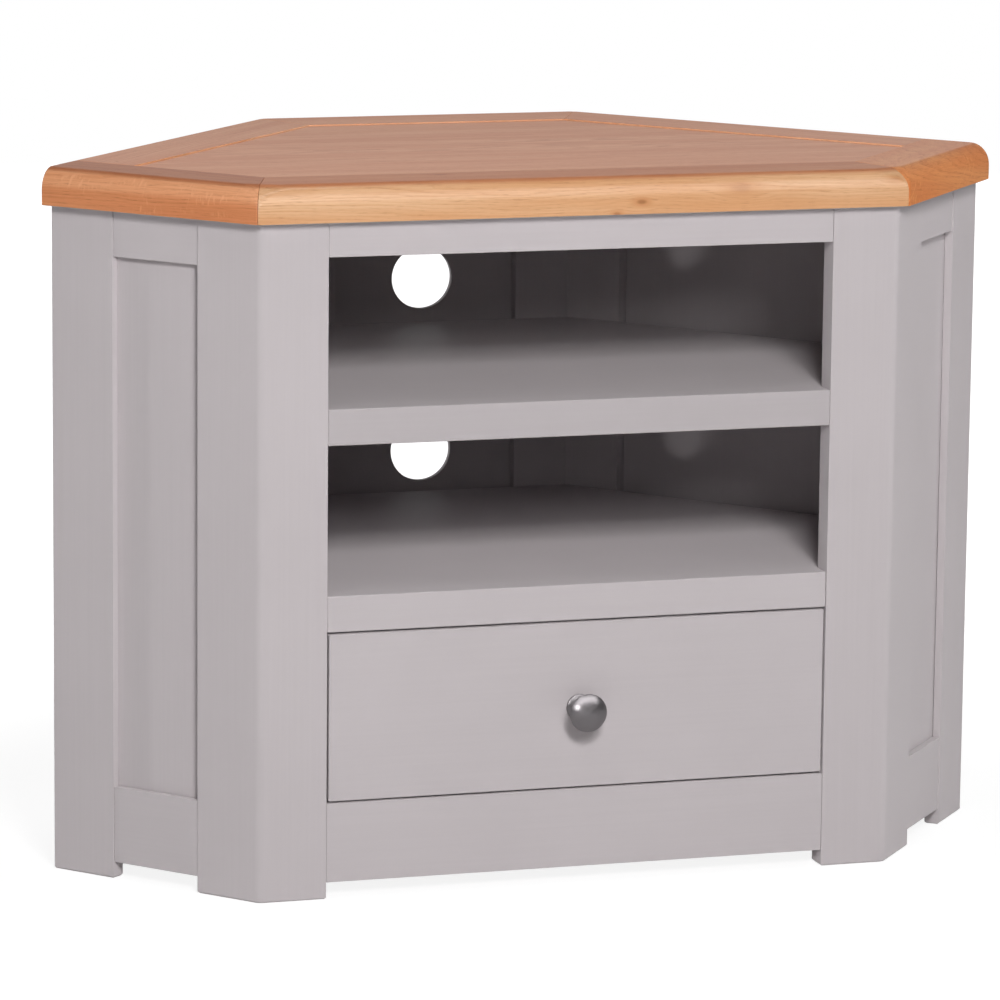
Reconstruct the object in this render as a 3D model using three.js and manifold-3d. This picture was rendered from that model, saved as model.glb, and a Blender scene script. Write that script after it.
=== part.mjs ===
// Corner TV cabinet with a framed oak top over a painted carcass.
// It has two open shelves and one inset drawer on wooden runners.
// Millimetres, +Z up. The front faces -Y and the origin is on the floor, under the middle of the whole.
import * as THREE from "three";
import { mergeVertices } from "three/addons/utils/BufferGeometryUtils.js";
import Module from "manifold-3d";

const wasm = await Module();
wasm.setup();

// Plan of the carcass, seen from above
const frontHalfWidth = 278;
const sideLength = 213;
const backHalfWidth = 146;
const sideDegrees = 50;
const backWallDegrees = 130;

// Heights
const height = 600;
const topThickness = 31;
const footGap = 14.2;
const apronHeight = 67.4;
const drawerOpeningHeight = 145;
const shelfThickness = 30.5;
const frontTopRailHeight = 29.1;
const endRailTopHeight = 39;
const endRailBottomHeight = 65;

// Clearances
const seatGap = 0.3;
const drawerGap = 1.8;
const runnerPlay = 1;

// Posts
const postFace = 58;
const endPostFace = 63;
const outerPostBackFace = 45;
const slantPostFace = 66;
const backPostFace = 60;
const postThickness = 22;
const outerPostThickness = 13;
const arrisRadius = 9;
const footChamfer = 1.5;

// Rails, tenons and panels
const frontSetback = 0.5;
const endSetback = 1;
const tenonLength = 15;
const tenonThickness = 8;
const tenonInset = 7;
const tenonShoulder = 8;
const endTenonThickness = 6;
const endTenonInset = 3.5;
const panelThickness = 6;
const panelTongue = 5;
const endPanelRecess = 7.5;
const backPanelInset = 3;
const cableHoleRadius = 28.3;
const upperHoleRise = 38.5;
const lowerHoleRise = 35.5;

// Oak top
const frontOverhang = 11;
const backOverhang = 4;
const topFrontRailWidth = 68;
const topEndRailWidth = 62;
const topBackRailWidth = 60;
const roundOver = 18;
const lowerEase = 0.5;
const frontCornerRadius = 6;
const frontCrownRadius = 56;
const outerCornerRadius = 2;
const backCornerRadius = 12;
const topPanelThickness = 22;
const tongueThickness = 6;
const tongueLength = 8;
const tongueDepth = 9;

// Battens and blocks inside
const cleatWidth = 18;
const cleatHeight = 18;
const blockLength = 60;
const blockWidth = 20;
const blockHeight = 20;
const frontBlockSpread = 120;
const screwShankRadius = 2;
const screwHeadRadius = 4;
const screwHeadHeight = 2.5;
const screwBite = 18;
const screwClearance = 0.35;

// Runners and stops
const runnerShelfWidth = 30;
const runnerGuideWidth = 20;
const runnerShelfHeight = 20;
const runnerGuideHeight = 30;
const stopLength = 10;
const stopWidth = 14;
const stopHeight = 12;

// Drawer
const drawerRearRoom = 22.5;
const drawerFrontThickness = 20;
const drawerBoardThickness = 12;
const drawerSideHeight = 108;
const drawerSideRise = 1;
const drawerBottomThickness = 6;
const drawerBottomRise = 7;
const drawerGroove = 6;
const dovetailCount = 3;
const dovetailHeight = 24;
const dovetailFlare = 1.8;

// Knob and its screw
const knobDrop = 2.1;
const knobLength = 31;
const knobFaceRadius = 16.3;
const knobRimHeight = 4;
const knobDomeHeight = 3;
const knobNeckRadius = 6.5;
const knobNeckHeight = 9;
const knobBaseRadius = 11.5;
const knobBaseHeight = 1.5;
const knobBoreRadius = 2.3;
const knobBoreDepth = 14;
const knobScrewRadius = 2;
const knobScrewBite = 12;

// Facets of curves
const arcSteps = 6;
const roundOverSteps = 10;
const roundSteps = 40;
const holeSteps = 48;

const painted = { color: 0xbab2b2, roughness: 0.45, metalness: 0 };
const oak = { color: 0xd49a62, roughness: 0.38, metalness: 0 };
const bareWood = { color: 0xd9c29a, roughness: 0.7, metalness: 0 };
const brushedSteel = { color: 0xb4b0ac, roughness: 0.3, metalness: 1 };
const zincSteel = { color: 0xa8a8a4, roughness: 0.4, metalness: 1 };

// Levels up the front
const apronTop = footGap + apronHeight;
const lowerShelfBottom = apronTop + drawerOpeningHeight;
const lowerShelfTop = lowerShelfBottom + shelfThickness;
const topUnderside = height - topThickness;
const carcassTop = topUnderside - seatGap;
const topRailBottom = carcassTop - frontTopRailHeight;
const compartmentHeight = (topRailBottom - lowerShelfTop - shelfThickness) / 2;
const upperShelfBottom = lowerShelfTop + compartmentHeight;
const upperShelfTop = upperShelfBottom + shelfThickness;

// Geometry helpers

const vector = (x, y) => new THREE.Vector2(x, y);

// Turns a closed three.js geometry into a solid that can be cut and joined.
function solidOf(geometry) {
  const bare = geometry.clone();
  bare.deleteAttribute("normal");
  bare.deleteAttribute("uv");
  const merged = mergeVertices(bare);
  return new wasm.Manifold(
    new wasm.Mesh({
      numProp: 3,
      vertProperties: new Float32Array(merged.attributes.position.array),
      triVerts: new Uint32Array(merged.index.array),
    }),
  );
}

// Turns a solid back into a three.js geometry with flat faces.
function geometryOf(solid) {
  const mesh = solid.getMesh();
  const shared = new THREE.BufferGeometry();
  shared.setAttribute("position", new THREE.BufferAttribute(new Float32Array(mesh.vertProperties), 3));
  shared.setIndex(new THREE.BufferAttribute(new Uint32Array(mesh.triVerts), 1));
  const faceted = shared.toNonIndexed();
  faceted.computeVertexNormals();
  return faceted;
}

// Skins a stack of outlines that have the same number of points into one closed solid.
function loft(levels) {
  const count = levels[0].points.length;
  const positions = levels.flatMap(({ z, points }) => points.flatMap((p) => [p.x, p.y, z]));
  const faces = [];
  for (let level = 0; level < levels.length - 1; level++) {
    for (let i = 0; i < count; i++) {
      const next = (i + 1) % count;
      const low = level * count;
      const high = low + count;
      faces.push(low + i, low + next, high + next);
      faces.push(low + i, high + next, high + i);
    }
  }
  const cap = THREE.ShapeUtils.triangulateShape(levels[0].points, []);
  const lid = (levels.length - 1) * count;
  cap.forEach(([a, b, c]) => faces.push(a, c, b, lid + a, lid + b, lid + c));
  const geometry = new THREE.BufferGeometry();
  geometry.setAttribute("position", new THREE.BufferAttribute(new Float32Array(positions), 3));
  geometry.setIndex(faces);
  return solidOf(geometry);
}

// An upright prism over a plan outline.
const prism = (points, bottom, top) =>
  loft([
    { z: bottom, points },
    { z: top, points },
  ]);

// A box between two opposite corners.
const block = (x0, x1, y0, y1, z0, z1) =>
  prism([vector(x0, y0), vector(x1, y0), vector(x1, y1), vector(x0, y1)], z0, z1);

// The point where two lines meet, each given as a point and a direction.
function meet(pointA, alongA, pointB, alongB) {
  const travel = pointB.clone().sub(pointA).cross(alongB) / alongA.cross(alongB);
  return pointA.clone().addScaledVector(alongA, travel);
}

// Moves every edge of a closed outline inwards by its own distance.
function inset(points, distances) {
  const edges = points.map((start, i) => {
    const along = points[(i + 1) % points.length].clone().sub(start).normalize();
    const inward = vector(-along.y, along.x);
    return { start: start.clone().addScaledVector(inward, distances[i]), along };
  });
  return edges.map((edge, i) => {
    const before = edges[(i + edges.length - 1) % edges.length];
    return meet(before.start, before.along, edge.start, edge.along);
  });
}

const insetAll = (points, distance) => inset(points, points.map(() => distance));

// Rounds the corners of an outline, each with its own radius; a radius of zero keeps a corner.
function rounded(points, radii) {
  return points.flatMap((corner, i) => {
    if (!radii[i]) return [corner];
    const back = points[(i + points.length - 1) % points.length].clone().sub(corner).normalize();
    const ahead = points[(i + 1) % points.length].clone().sub(corner).normalize();
    const halfAngle = Math.acos(back.dot(ahead)) / 2;
    const centre = back.clone().add(ahead).normalize();
    centre.multiplyScalar(radii[i] / Math.sin(halfAngle)).add(corner);
    const reach = radii[i] / Math.tan(halfAngle);
    const from = corner.clone().addScaledVector(back, reach).sub(centre);
    const sweep = Math.PI - 2 * halfAngle;
    return Array.from({ length: arcSteps + 1 }, (_, step) =>
      from.clone().rotateAround(vector(0, 0), (sweep * step) / arcSteps).add(centre),
    );
  });
}

// Plan of the carcass: one wall from each corner to the next, anticlockwise from the front

const radians = THREE.MathUtils.degToRad;
const sideAlong = vector(Math.cos(radians(sideDegrees)), Math.sin(radians(sideDegrees)));
const backWallAlong = vector(Math.cos(radians(backWallDegrees)), Math.sin(radians(backWallDegrees)));
const frontRight = vector(frontHalfWidth, 0);
const outerRight = frontRight.clone().addScaledVector(sideAlong, sideLength);
const backRight = meet(outerRight, backWallAlong, vector(backHalfWidth, 0), vector(0, backHalfWidth));
const bodyDepth = backRight.y;
const mirrored = (p) => vector(-p.x, p.y);
const corners = [mirrored(frontRight), frontRight, outerRight, backRight, mirrored(backRight), mirrored(outerRight)];

const whole = new THREE.Group();
const carcass = new THREE.Group();
whole.add(carcass);

const walls = corners.map((start, i) => {
  const end = corners[(i + 1) % corners.length];
  const along = end.clone().sub(start).normalize();
  const group = new THREE.Group();
  group.position.set(start.x, start.y, 0);
  group.rotation.z = Math.atan2(along.y, along.x);
  carcass.add(group);
  return { start, along, inward: vector(-along.y, along.x), length: start.distanceTo(end), group, cuts: [] };
});
const [frontWall, rightSide, rightBack, backWall, leftBack, leftSide] = walls;

// A point of a wall: so far along it from its first corner, and so far in from its face.
const onWall = (wall, along, depth) =>
  wall.start.clone().addScaledVector(wall.along, along).addScaledVector(wall.inward, depth);

// A box in a wall, from one distance along it to another and from one depth to another.
function wallBox(wall, from, to, outside, inside, bottom, top) {
  const plan = [
    onWall(wall, from, outside),
    onWall(wall, to, outside),
    onWall(wall, to, inside),
    onWall(wall, from, inside),
  ];
  return prism(plan, bottom, top);
}

// Adds a named piece to a group, in that group's own frame.
function addPiece(group, name, solid, finish) {
  whole.updateMatrixWorld(true);
  const geometry = geometryOf(solid).applyMatrix4(group.matrixWorld.clone().invert());
  geometry.computeBoundingBox();
  const centre = geometry.boundingBox.getCenter(new THREE.Vector3());
  geometry.translate(-centre.x, -centre.y, -centre.z);
  const mesh = new THREE.Mesh(geometry, new THREE.MeshStandardMaterial(finish));
  mesh.name = name;
  mesh.position.copy(centre);
  group.add(mesh);
  return mesh;
}

const cutAll = (solid, cuts) => cuts.reduce((rest, cut) => rest.subtract(cut), solid);

// How far each post's two faces reach along the walls that meet at its corner
const postReach = [
  { name: "front_left_post", before: endPostFace, after: postFace, arris: arrisRadius },
  { name: "front_right_post", before: postFace, after: endPostFace, arris: arrisRadius },
  { name: "outer_right_post", before: endPostFace, after: outerPostBackFace, arris: footChamfer },
  { name: "back_right_post", before: slantPostFace, after: backPostFace, arris: footChamfer },
  { name: "back_left_post", before: backPostFace, after: slantPostFace, arris: footChamfer },
  { name: "outer_left_post", before: outerPostBackFace, after: endPostFace, arris: footChamfer },
];

// The end legs of the outer posts are thinner boards than the rest
const legThickness = (wall, name) =>
  name.startsWith("outer") && (wall === rightSide || wall === leftSide) ? outerPostThickness : postThickness;

// Where the space between a wall's two posts starts and ends.
function span(wall) {
  const i = walls.indexOf(wall);
  return { from: postReach[i].after, to: wall.length - postReach[(i + 1) % walls.length].before };
}

// Rails with a stub tenon at each end, and the mortises they need

function tenons(wall, bottom, top, grow) {
  const { from, to } = span(wall);
  const thin = wall === rightSide || wall === leftSide;
  const out = (thin ? endTenonInset : tenonInset) - grow;
  const back = out + (thin ? endTenonThickness : tenonThickness) + 2 * grow;
  const low = bottom + tenonShoulder - grow;
  const high = top - tenonShoulder + grow;
  const reach = tenonLength + grow;
  return [
    wallBox(wall, from - reach, from + tenonLength, out, back, low, high),
    wallBox(wall, to - tenonLength, to + reach, out, back, low, high),
  ];
}

function rail(wall, setback, bottom, top) {
  const { from, to } = span(wall);
  wall.cuts.push(...tenons(wall, bottom, top, seatGap));
  const bar = wallBox(wall, from + seatGap, to - seatGap, setback, postThickness, bottom, top);
  return tenons(wall, bottom, top, 0).reduce((sum, tenon) => sum.add(tenon), bar);
}

// One wall of frame and panel: two rails, and a panel in grooves of the rails and posts.
function framedWall(wall, prefix, setback, panelDepth, openings) {
  const { from, to } = span(wall);
  const railTop = carcassTop;
  const panelTop = topUnderside - endRailTopHeight;
  const panelBottom = footGap + endRailBottomHeight;
  const panel = (grow, tongue) =>
    wallBox(
      wall,
      from - tongue - grow,
      to + tongue + grow,
      panelDepth - grow,
      panelDepth + panelThickness + grow,
      panelBottom - tongue - grow,
      panelTop + tongue + grow,
    );
  const groove = panel(seatGap, panelTongue);
  const topRail = rail(wall, setback, panelTop, railTop).subtract(groove);
  const bottomRail = rail(wall, setback, footGap, panelBottom).subtract(groove);
  wall.cuts.push(groove);
  addPiece(wall.group, prefix + "_top_rail", topRail, painted);
  addPiece(wall.group, prefix + "_bottom_rail", bottomRail, painted);
  addPiece(wall.group, prefix + "_panel", cutAll(panel(0, panelTongue), openings), painted);
}

// A round hole straight through the back wall, its middle at a given height.
function cableHole(middle) {
  const drill = new THREE.CylinderGeometry(cableHoleRadius, cableHoleRadius, bodyDepth, holeSteps);
  drill.translate(0, bodyDepth, middle);
  return solidOf(drill);
}

framedWall(rightSide, "right_side", endSetback, endPanelRecess, []);
framedWall(leftSide, "left_side", endSetback, endPanelRecess, []);
framedWall(rightBack, "right_back", 0, backPanelInset, []);
framedWall(leftBack, "left_back", 0, backPanelInset, []);
framedWall(backWall, "back", 0, backPanelInset, [
  cableHole(lowerShelfTop + lowerHoleRise),
  cableHole(upperShelfTop + upperHoleRise),
]);

addPiece(frontWall.group, "front_top_rail", rail(frontWall, frontSetback, topRailBottom, carcassTop), painted);
addPiece(frontWall.group, "front_apron", rail(frontWall, frontSetback, footGap, apronTop), painted);

// Shelves: one thick board each, tenoned between the front posts and filling the plan behind them

function shelf(bottom) {
  const top = bottom + shelfThickness;
  const inner = insetAll(corners, postThickness + seatGap);
  const half = frontHalfWidth - postFace - seatGap;
  const plan = [
    vector(-half, frontSetback),
    vector(half, frontSetback),
    vector(half, inner[0].y),
    ...inner.slice(1),
    inner[0],
    vector(-half, inner[0].y),
  ];
  frontWall.cuts.push(...tenons(frontWall, bottom, top, seatGap));
  return tenons(frontWall, bottom, top, 0).reduce((sum, tenon) => sum.add(tenon), prism(plan, bottom, top));
}

addPiece(carcass, "upper_shelf", shelf(upperShelfBottom), painted);
addPiece(carcass, "lower_shelf", shelf(lowerShelfBottom), painted);

// Cleats that carry the shelves along the two slanted back walls
for (const [wall, side] of [
  [rightBack, "right"],
  [leftBack, "left"],
]) {
  for (const [level, under] of [
    ["upper", upperShelfBottom],
    ["lower", lowerShelfBottom],
  ]) {
    const { from, to } = span(wall);
    const outside = postThickness + seatGap;
    const top = under - seatGap;
    const cleat = wallBox(wall, from, to, outside, outside + cleatWidth, top - cleatHeight, top);
    addPiece(wall.group, `${level}_${side}_shelf_cleat`, cleat, painted);
  }
}

// Posts: an angle section at each corner, mortised and grooved for what meets it

corners.forEach((corner, i) => {
  const wall = walls[i];
  const before = walls[(i + walls.length - 1) % walls.length];
  const { name, before: reachBefore, after: reachAfter, arris } = postReach[i];
  const ahead = legThickness(wall, name);
  const behind = legThickness(before, name);
  const section = [
    corner,
    onWall(wall, reachAfter, 0),
    onWall(wall, reachAfter, ahead),
    meet(onWall(wall, 0, ahead), wall.along, onWall(before, 0, behind), before.along),
    onWall(before, before.length - reachBefore, behind),
    onWall(before, before.length - reachBefore, 0),
  ];
  const radii = section.map((_, index) => (index === 0 ? arris : 0));
  const eased = insetAll(section, footChamfer);
  const easedRadii = radii.map((radius) => Math.max(radius - footChamfer, radius / arcSteps));
  const post = loft([
    { z: 0, points: rounded(eased, easedRadii) },
    { z: footChamfer, points: rounded(section, radii) },
    { z: carcassTop, points: rounded(section, radii) },
  ]);
  addPiece(carcass, name, cutAll(post, [...wall.cuts, ...before.cuts]), painted);
});

// Oak top: a round-over along the front and ends, split into mitred and butted rails round a panel

const topGroup = new THREE.Group();
topGroup.position.z = topUnderside;
carcass.add(topGroup);

// The top's outline, with the front and ends drawn in and every edge of the rest left in place.
function topOutline(drawnIn) {
  const front = drawnIn - frontOverhang;
  return inset(corners, [front, front, -backOverhang, -backOverhang, -backOverhang, front]);
}

// The front corners are crisp at the edge and sanded to a wide curve over the round-over's crown.
function topLevel(z, drawnIn) {
  const crown = Math.min(drawnIn / (roundOver / 2), 1);
  const front = THREE.MathUtils.lerp(frontCornerRadius, frontCrownRadius, crown);
  const radii = [front, front, outerCornerRadius, backCornerRadius, backCornerRadius, outerCornerRadius];
  return { z, points: rounded(topOutline(drawnIn), radii) };
}

const curveLevels = Array.from({ length: roundOverSteps + 1 }, (_, step) => {
  const turn = (Math.PI / 2) * (step / roundOverSteps);
  return topLevel(height - roundOver * (1 - Math.sin(turn)), roundOver * (1 - Math.cos(turn)));
});
const topBlank = loft([topLevel(topUnderside, lowerEase), topLevel(topUnderside + lowerEase, 0), ...curveLevels]);

const edge = topOutline(0);
const railWidths = [
  topFrontRailWidth,
  topEndRailWidth,
  topBackRailWidth,
  topBackRailWidth,
  topBackRailWidth,
  topEndRailWidth,
];
const inner = inset(edge, railWidths);
const outside = inset(edge, railWidths.map((width) => -width));

// Where a side rail's inner edge runs out through the slanted back edge
function runOut(side, start) {
  const slant = side === rightSide ? rightBack : leftBack;
  const end = side === rightSide ? outside[2] : outside[5];
  return meet(start, side.along, end, slant.along);
}
const rightRunOut = runOut(rightSide, inner[1]);
const leftRunOut = runOut(leftSide, inner[0]);

const topRails = {
  top_front_rail: [outside[0], outside[1], inner[1], inner[0]],
  top_right_rail: [outside[1], outside[2], rightRunOut, inner[1]],
  top_right_back_rail: [rightRunOut, outside[3], inner[3], inner[2]],
  top_back_rail: [outside[3], outside[4], inner[4], inner[3]],
  top_left_back_rail: [outside[4], leftRunOut, inner[5], inner[4]],
  top_left_rail: [leftRunOut, outside[5], outside[0], inner[0]],
};

const tongueTop = height - tongueDepth;
const tongueBottom = tongueTop - tongueThickness;
const tonguePlan = insetAll(inner, -tongueLength);
const groove = prism(insetAll(tonguePlan, -seatGap), tongueBottom - seatGap, tongueTop + seatGap);

// Blocks inside the top rails, each with a screw up into the oak
const fixings = [
  { name: "front_left", wall: frontWall, along: frontHalfWidth - frontBlockSpread },
  { name: "front_right", wall: frontWall, along: frontHalfWidth + frontBlockSpread },
  { name: "right_side", wall: rightSide, along: sideLength / 2 },
  { name: "left_side", wall: leftSide, along: sideLength / 2 },
  { name: "back", wall: backWall, along: backWall.length / 2 },
];
const blockDepth = postThickness + seatGap;
const blockBottom = carcassTop - blockHeight;

const screwPlace = ({ wall, along }) => onWall(wall, along, blockDepth + blockWidth / 2);

function screwHole(fixing) {
  const reach = blockHeight + screwBite;
  const radius = screwShankRadius + screwClearance;
  const drill = new THREE.CylinderGeometry(radius, radius, 2 * reach, roundSteps / 2);
  drill.rotateX(Math.PI / 2);
  const place = screwPlace(fixing);
  drill.translate(place.x, place.y, blockBottom);
  return solidOf(drill);
}
const screwHoles = fixings.map(screwHole);

for (const [name, region] of Object.entries(topRails)) {
  const cut = prism(insetAll(region, seatGap / 2), 0, 2 * height);
  addPiece(topGroup, name, cutAll(topBlank.intersect(cut), [groove, ...screwHoles]), oak);
}
const centrePlan = insetAll(inner, seatGap);
const centre = prism(centrePlan, height - topPanelThickness, height);
addPiece(topGroup, "top_centre_panel", centre.add(prism(tonguePlan, tongueBottom, tongueTop)), oak);

// A wood screw standing on its head, turned about +Z.
function screwProfile(length) {
  const tip = screwShankRadius * 2;
  const points = [
    vector(0, -screwHeadHeight),
    vector(screwHeadRadius * Math.SQRT1_2, -screwHeadHeight),
    vector(screwHeadRadius, -screwHeadHeight / 2),
    vector(screwHeadRadius, 0),
    vector(screwShankRadius, 0),
    vector(screwShankRadius, length - tip),
    vector(0, length),
  ];
  const turned = new THREE.LatheGeometry(points, roundSteps / 2);
  return turned.rotateX(Math.PI / 2);
}

fixings.forEach((fixing, i) => {
  const { name, wall, along } = fixing;
  const inside = blockDepth + blockWidth;
  const half = blockLength / 2;
  const body = wallBox(wall, along - half, along + half, blockDepth, inside, blockBottom, carcassTop);
  addPiece(wall.group, `${name}_fixing_block`, body.subtract(screwHoles[i]), bareWood);
  const place = screwPlace(fixing);
  const screw = screwProfile(blockHeight + screwBite - seatGap);
  screw.translate(place.x, place.y, blockBottom - seatGap);
  addPiece(carcass, `${name}_fixing_screw`, solidOf(screw), zincSteel);
});

// Drawer runners: a shelf under each drawer side with a guide outside it, mitred to the back wall

const drawerHalf = frontHalfWidth - postFace - drawerGap;
const drawerFrontBottom = apronTop + drawerGap;
const drawerFrontTop = lowerShelfBottom - drawerGap;
const drawerSideBottom = drawerFrontBottom + drawerSideRise;
const drawerSideTop = drawerSideBottom + drawerSideHeight;
const runnerTop = drawerSideBottom - seatGap;
const guideInside = drawerHalf + runnerPlay;
const guideOutside = guideInside + runnerGuideWidth;
const runnerInside = guideInside - runnerShelfWidth;
const runnerStart = postThickness + seatGap;
const slantStart = onWall(rightBack, 0, postThickness + seatGap);

// How far back a piece can run at a distance from the middle before the slanted wall stops it.
const slantDepth = (x) => meet(slantStart, rightBack.along, vector(x, 0), vector(0, bodyDepth)).y;

// The drawer ends short of the slanted walls, with room behind it for its stops
const drawerDepth = slantDepth(guideInside) - stopLength - drawerRearRoom;

const ySpan = (x0, x1) => [
  vector(x0, runnerStart),
  vector(x1, runnerStart),
  vector(x1, slantDepth(x1)),
  vector(x0, slantDepth(x0)),
];

const mirrorX = (solid) => {
  const geometry = geometryOf(solid);
  const flipped = geometry.applyMatrix4(new THREE.Matrix4().makeScale(-1, 1, 1));
  const wound = flipped.getAttribute("position").array;
  const turned = new Float32Array(wound.length);
  for (let corner = 0; corner < wound.length; corner += 9) {
    turned.set(wound.subarray(corner, corner + 3), corner);
    turned.set(wound.subarray(corner + 6, corner + 9), corner + 3);
    turned.set(wound.subarray(corner + 3, corner + 6), corner + 6);
  }
  const mirror = new THREE.BufferGeometry();
  mirror.setAttribute("position", new THREE.BufferAttribute(turned, 3));
  return solidOf(mirror);
};

const rightRunner = prism(ySpan(runnerInside, guideOutside), runnerTop - runnerShelfHeight, runnerTop).add(
  prism(ySpan(guideInside, guideOutside), runnerTop - runnerShelfHeight, runnerTop + runnerGuideHeight),
);
const stopOuter = guideInside - runnerPlay;
const rightStop = block(
  stopOuter - stopWidth,
  stopOuter,
  drawerDepth + seatGap,
  drawerDepth + seatGap + stopLength,
  runnerTop + seatGap,
  runnerTop + seatGap + stopHeight,
);
addPiece(carcass, "right_drawer_runner", rightRunner, bareWood);
addPiece(carcass, "left_drawer_runner", mirrorX(rightRunner), bareWood);
addPiece(carcass, "right_drawer_stop", rightStop, bareWood);
addPiece(carcass, "left_drawer_stop", mirrorX(rightStop), bareWood);

// Drawer: dovetailed box with a ply bottom in grooves

const drawer = new THREE.Group();
drawer.position.set(0, 0, drawerFrontBottom);
carcass.add(drawer);

const sideInner = drawerHalf - drawerBoardThickness;
const frontTailEnd = drawerFrontThickness - drawerBoardThickness;
const backTailStart = drawerDepth - drawerBoardThickness;
const tailPitch = drawerSideHeight / dovetailCount;

// Tails between a root and an end, along Y, wider at the end. They stand on the right side's board.
function tails(root, end, grow) {
  const way = Math.sign(end - root);
  return Array.from({ length: dovetailCount }, (_, i) => {
    const middle = drawerSideBottom + tailPitch * (i + 1 / 2);
    const wide = dovetailHeight / 2 + grow;
    const narrow = wide - dovetailFlare;
    const shape = new THREE.Shape([
      vector(root - way * drawerBoardThickness, middle - narrow),
      vector(root, middle - narrow),
      vector(end + way * grow, middle - wide),
      vector(end + way * grow, middle + wide),
      vector(root, middle + narrow),
      vector(root - way * drawerBoardThickness, middle + narrow),
    ]);
    const depth = drawerBoardThickness + 2 * grow;
    const tail = new THREE.ExtrudeGeometry(shape, { depth, bevelEnabled: false });
    tail.rotateX(Math.PI / 2).rotateZ(Math.PI / 2);
    tail.translate(sideInner - grow, 0, 0);
    return solidOf(tail);
  });
}

const bottomLow = drawerSideBottom + drawerBottomRise;
const bottomHigh = bottomLow + drawerBottomThickness;
const bottomBoard = (grow) =>
  block(
    -sideInner - drawerGroove - grow + seatGap,
    sideInner + drawerGroove + grow - seatGap,
    drawerFrontThickness - drawerGroove - grow,
    drawerDepth - seatGap + grow,
    bottomLow - grow,
    bottomHigh + grow,
  );
const bottomGroove = bottomBoard(seatGap);

const sideBoard = block(
  sideInner,
  drawerHalf,
  drawerFrontThickness + seatGap,
  backTailStart - seatGap,
  drawerSideBottom,
  drawerSideTop,
);
const joinedSide = [...tails(drawerFrontThickness, frontTailEnd, 0), ...tails(backTailStart, drawerDepth, 0)].reduce(
  (sum, tail) => sum.add(tail),
  sideBoard,
);
const rightDrawerSide = joinedSide.subtract(bottomGroove);

const frontSockets = tails(drawerFrontThickness, frontTailEnd, seatGap);
const backSockets = tails(backTailStart, drawerDepth, seatGap);
const knobHeight = (drawerFrontBottom + drawerFrontTop) / 2 - knobDrop;

// The clearance hole for the knob's screw, along Y through the drawer front.
function knobScrewHole() {
  const radius = knobScrewRadius + screwClearance;
  const drill = new THREE.CylinderGeometry(radius, radius, 2 * drawerDepth, roundSteps / 2);
  drill.translate(0, 0, knobHeight);
  return solidOf(drill);
}

const frontBoard = block(-drawerHalf, drawerHalf, 0, drawerFrontThickness, drawerFrontBottom, drawerFrontTop);
const drawerFront = cutAll(frontBoard, [
  ...frontSockets,
  ...frontSockets.map(mirrorX),
  bottomGroove,
  knobScrewHole(),
]);
const backBoard = block(
  -drawerHalf,
  drawerHalf,
  backTailStart,
  drawerDepth,
  bottomHigh + seatGap,
  drawerSideTop,
);
const drawerBack = cutAll(backBoard, [...backSockets, ...backSockets.map(mirrorX)]);

addPiece(drawer, "drawer_front", drawerFront, painted);
addPiece(drawer, "drawer_right_side", rightDrawerSide, bareWood);
addPiece(drawer, "drawer_left_side", mirrorX(rightDrawerSide), bareWood);
addPiece(drawer, "drawer_back", drawerBack, bareWood);
addPiece(drawer, "drawer_bottom", bottomBoard(0), bareWood);

// Knob: a turned steel mushroom with a waisted neck, held by a screw from inside the drawer

function knobProfile() {
  const rimTop = knobLength - knobDomeHeight;
  const rimBottom = rimTop - knobRimHeight;
  const neck = new THREE.CubicBezierCurve(
    vector(knobBaseRadius, knobBaseHeight),
    vector(knobNeckRadius, knobBaseHeight),
    vector(knobNeckRadius, knobNeckHeight + knobBaseHeight),
    vector(knobFaceRadius, rimBottom),
  );
  const sphere = (knobFaceRadius ** 2 + knobDomeHeight ** 2) / (2 * knobDomeHeight);
  const spread = Math.asin(knobFaceRadius / sphere);
  const dome = Array.from({ length: arcSteps + 1 }, (_, step) => {
    const turn = spread * (1 - step / arcSteps);
    return vector(sphere * Math.sin(turn), knobLength - sphere * (1 - Math.cos(turn)));
  });
  dome[arcSteps].x = 0;
  return [
    vector(0, knobBoreDepth),
    vector(knobBoreRadius, knobBoreDepth),
    vector(knobBoreRadius, 0),
    vector(knobBaseRadius, 0),
    ...neck.getPoints(2 * arcSteps),
    ...dome,
  ];
}

// The lathe turns about +Y; the knob points out of the drawer's face along -Y.
const knobTurned = new THREE.LatheGeometry(knobProfile(), roundSteps);
knobTurned.rotateX(Math.PI).translate(0, -seatGap, knobHeight);
addPiece(drawer, "drawer_knob", solidOf(knobTurned), brushedSteel);

function knobScrewProfile() {
  const length = drawerFrontThickness + seatGap + knobScrewBite;
  return [
    vector(0, -screwHeadHeight),
    vector(screwHeadRadius * Math.SQRT1_2, -screwHeadHeight),
    vector(screwHeadRadius, -screwHeadHeight / 2),
    vector(screwHeadRadius, 0),
    vector(knobScrewRadius, 0),
    vector(knobScrewRadius, length),
    vector(0, length),
  ];
}
const knobScrew = new THREE.LatheGeometry(knobScrewProfile(), roundSteps / 2);
knobScrew.rotateX(Math.PI).translate(0, drawerFrontThickness + seatGap, knobHeight);
addPiece(drawer, "knob_screw", solidOf(knobScrew), zincSteel);

// The origin goes to the middle of the whole in plan, between the knob's tip and the top's back edge
whole.position.y = (knobLength + seatGap - bodyDepth - backOverhang) / 2;

export default whole;
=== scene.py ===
"""A corner television cabinet: a painted six-sided carcass, a lacquered oak top and one drawer."""

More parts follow.
